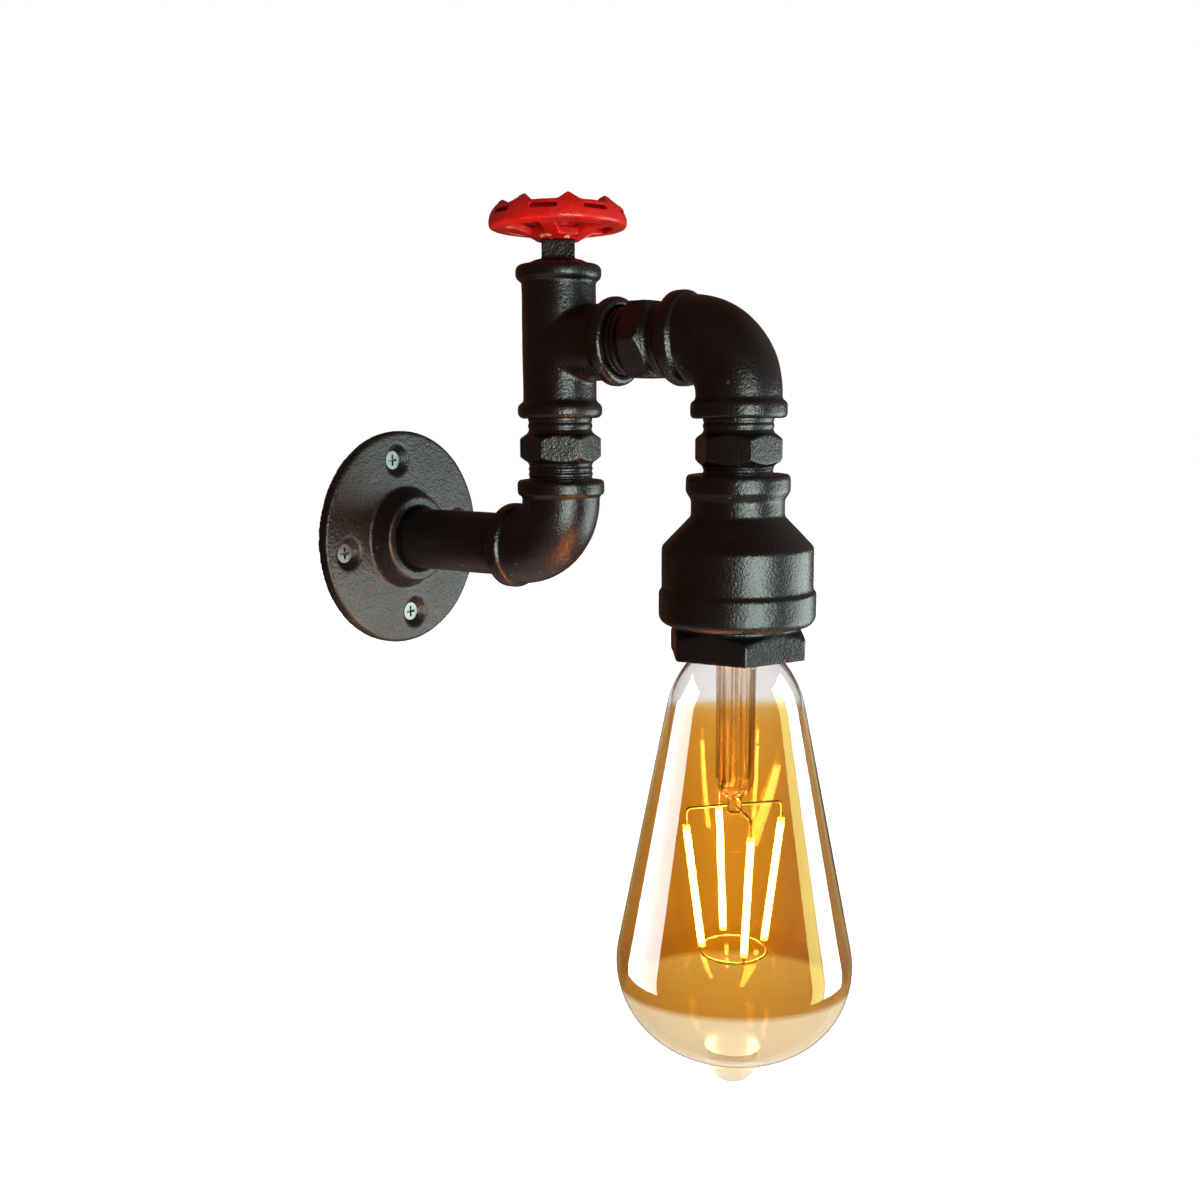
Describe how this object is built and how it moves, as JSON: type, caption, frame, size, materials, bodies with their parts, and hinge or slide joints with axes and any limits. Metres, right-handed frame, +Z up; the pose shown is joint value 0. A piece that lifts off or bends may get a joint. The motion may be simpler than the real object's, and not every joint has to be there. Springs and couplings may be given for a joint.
{
  "type": "pipe wall light",
  "caption": "Wall light built from threaded black iron pipe fittings with a round wall flange, a red hand wheel and a hanging pear-shaped amber filament bulb.",
  "frame": {"origin": "centre of the wall flange's back face", "axes": "+Z up, +Y into the wall, the arm leaves the wall along -Y"},
  "size_m": [0.0766, 0.1876, 0.2763],
  "materials": {
    "black_iron": "black varnished cast iron, satin and pebbled",
    "zinc_steel": "bright zinc plated steel",
    "black_rubber": "matt black rubber",
    "flex_sheath": "black sheath",
    "red_paint": "glossy red paint",
    "white_ceramic": "glazed white steatite",
    "brass": "plated brass",
    "brown_core": "brown insulation",
    "blue_core": "blue insulation",
    "green_core": "green and yellow insulation",
    "amber_glass": "clear at the neck, amber below",
    "black_glass": "black glass insulator",
    "solder": "tinned contact",
    "clear_glass": "clear glass",
    "filament_coat": "yellow phosphor coat that glows",
    "support_wire": "nickel wire",
    "green_board": "circuit board",
    "grey_case": "capacitor case"
  },
  "bodies": {
    "base": {"wall_flange": "black_iron", "flange_screws": "zinc_steel", "wall_pipe": "black_iron", "entry_bush": "black_rubber", "lower_elbow": "black_iron", "lower_nipple": "black_iron", "supply_flex": "flex_sheath"},
    "arm": {"tee": "black_iron", "branch_nipple": "black_iron", "top_plug": "black_iron", "wheel_screw": "zinc_steel", "wheel_washer": "zinc_steel", "arm_flex": "flex_sheath"},
    "wheel": {"hand_wheel": "red_paint"},
    "head": {"upper_elbow": "black_iron", "drop_nipple": "black_iron", "reducing_socket": "black_iron", "hex_bushing": "black_iron", "conduit_tube": "zinc_steel", "conduit_locknut": "zinc_steel", "clamp_washers": "zinc_steel", "holder_bridge": "zinc_steel", "bridge_screws": "zinc_steel", "lampholder_body": "white_ceramic", "screw_shell": "brass", "centre_contact": "brass", "terminal_blocks": "brass", "terminal_screws": "zinc_steel", "earth_screw": "zinc_steel", "head_flex": "flex_sheath", "live_core": "brown_core", "neutral_core": "blue_core", "earth_core": "green_core"},
    "bulb": {"bulb_glass": "amber_glass", "bulb_cap": "brass", "cap_insulator": "black_glass", "cap_contact": "solder", "glass_stem": "clear_glass", "stem_bead": "clear_glass", "filaments": "filament_coat", "upper_wires": "support_wire", "lower_frame": "support_wire", "lead_wires": "support_wire", "driver_board": "green_board", "driver_capacitor": "grey_case"}
  },
  "joints": [
    {"name": "arm_swing", "type": "hinge", "parent": "base", "child": "arm", "pos_m": [0, -0.0748, 0], "axis": [0, 0, 1], "range_deg": [-90, 90]},
    {"name": "wheel_turn", "type": "hinge", "parent": "arm", "child": "wheel", "pos_m": [0, -0.0748, 0.098], "axis": [0, 0, 1], "continuous": true},
    {"name": "head_tilt", "type": "hinge", "parent": "arm", "child": "head", "pos_m": [0, -0.12, 0.0658], "axis": [0, 1, 0], "range_deg": [-90, 90]},
    {"name": "bulb_unscrew", "type": "slide", "parent": "head", "child": "bulb", "axis": [0, 0, -1], "range_m": [0, 0.03]}
  ]
}
